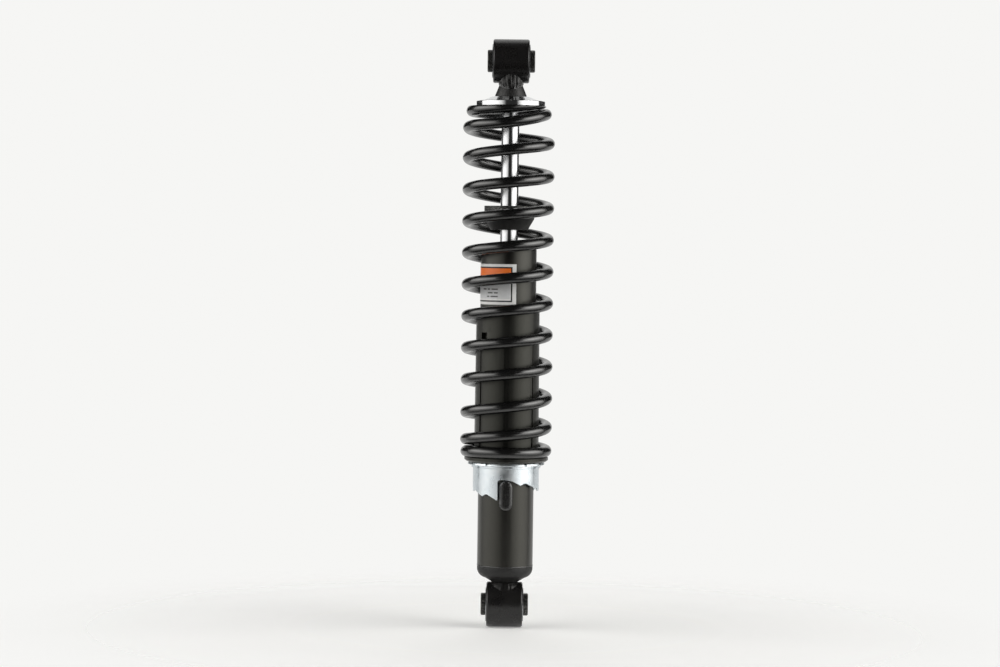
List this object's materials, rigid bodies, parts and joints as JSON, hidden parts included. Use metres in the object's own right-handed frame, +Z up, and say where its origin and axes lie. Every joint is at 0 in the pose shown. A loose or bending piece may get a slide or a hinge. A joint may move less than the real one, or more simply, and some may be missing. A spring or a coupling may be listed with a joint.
{
  "type": "rear shock absorber",
  "caption": "Coil-over shock absorber with a rubber-bushed eye at each end, a chromed rod, an outer coil spring and a stepped preload collar.",
  "frame": {"origin": "centre of the lower eye's bolt hole", "axes": "+Z up the piston rod to the upper eye, +X along both bolt holes, -Y the front, where one stop lug sits"},
  "size_m": [0.0663, 0.066, 0.4219],
  "materials": {
    "gloss_black_paint": "gloss powder coat",
    "satin_black_paint": "satin paint",
    "black_plastic": "satin moulded plastic",
    "zinc_plate": "bright zinc plate",
    "chrome_plate": "mirror chrome",
    "dark_steel": "black oxide",
    "bare_steel": "machined",
    "bush_rubber": "matte",
    "seal_rubber": "satin",
    "bronze": "sintered",
    "valve_alloy": "machined",
    "ptfe_band": "filled PTFE",
    "stop_nylon": "moulded nylon",
    "label_film": "printed film"
  },
  "bodies": {
    "lower_mount": {"lower_sleeve": "dark_steel"},
    "damper": {"lower_bush_rubber": "bush_rubber", "lower_bush_shell": "bare_steel", "lower_eye": "gloss_black_paint", "base_cap": "satin_black_paint", "damper_tube": "satin_black_paint", "stop_lugs": "gloss_black_paint", "identity_label": "label_film", "pressure_tube": "bare_steel", "base_valve_body": "valve_alloy", "base_valve_shims": "bare_steel", "base_valve_bolt": "bare_steel", "rod_guide": "valve_alloy", "rod_guide_bush": "bronze", "guide_o_ring": "seal_rubber", "rod_seal": "seal_rubber", "top_cap": "satin_black_paint", "dust_wiper": "seal_rubber"},
    "spring_seat": {"seat_ring": "black_plastic", "spring_guide_sleeve": "black_plastic", "main_spring": "gloss_black_paint"},
    "cam_collar": {"preload_cam": "zinc_plate"},
    "piston_ring": {"piston_band": "ptfe_band"},
    "rod": {"piston_rod": "chrome_plate", "piston": "valve_alloy", "compression_shims": "bare_steel", "rebound_shims": "bare_steel", "piston_nut": "bare_steel", "rebound_stop": "stop_nylon", "spring_retainer": "chrome_plate", "upper_eye": "gloss_black_paint", "upper_bush_shell": "bare_steel", "upper_bush_rubber": "bush_rubber"},
    "bump_stop_body": {"bump_stop": "bush_rubber", "bump_stop_washer": "dark_steel"},
    "upper_mount": {"upper_sleeve": "dark_steel"}
  },
  "joints": [
    {"name": "lower_eye_pivot", "type": "hinge", "parent": "lower_mount", "child": "damper", "pos_m": [0, 0, 0], "axis": [1, 0, 0], "range_deg": [-15, 15], "stiffness_Nm_per_rad": 60},
    {"name": "rod_slide", "type": "slide", "parent": "damper", "child": "piston_ring", "axis": [0, 0, -1], "range_m": [0, 0.067], "stiffness_N_per_m": 20000, "springref_m": -0.01, "deforming": ["main_spring"]},
    {"name": "rod_swivel", "type": "hinge", "parent": "piston_ring", "child": "rod", "pos_m": [0, 0, 0.3], "axis": [0, 0, 1], "continuous": true},
    {"name": "upper_eye_pivot", "type": "hinge", "parent": "rod", "child": "upper_mount", "pos_m": [0, 0, 0.39], "axis": [1, 0, 0], "range_deg": [-15, 15], "stiffness_Nm_per_rad": 20},
    {"name": "bump_stop_slide", "type": "slide", "parent": "rod", "child": "bump_stop_body", "axis": [0, 0, 1], "range_m": [0, 0.067]},
    {"name": "seat_lift", "type": "slide", "parent": "damper", "child": "spring_seat", "axis": [0, 0, 1], "range_m": [0, 0.0108], "deforming": ["main_spring"]},
    {"name": "cam_turn", "type": "hinge", "parent": "spring_seat", "child": "cam_collar", "pos_m": [0, 0, 0.09], "axis": [0, 0, -1], "range_deg": [0, 144]}
  ],
  "couplings": [
    {"joint": "bump_stop_slide", "follows": "rod_slide", "ratio": 1},
    {"joint": "cam_turn", "follows": "seat_lift", "rad_per_m": 232.7}
  ]
}
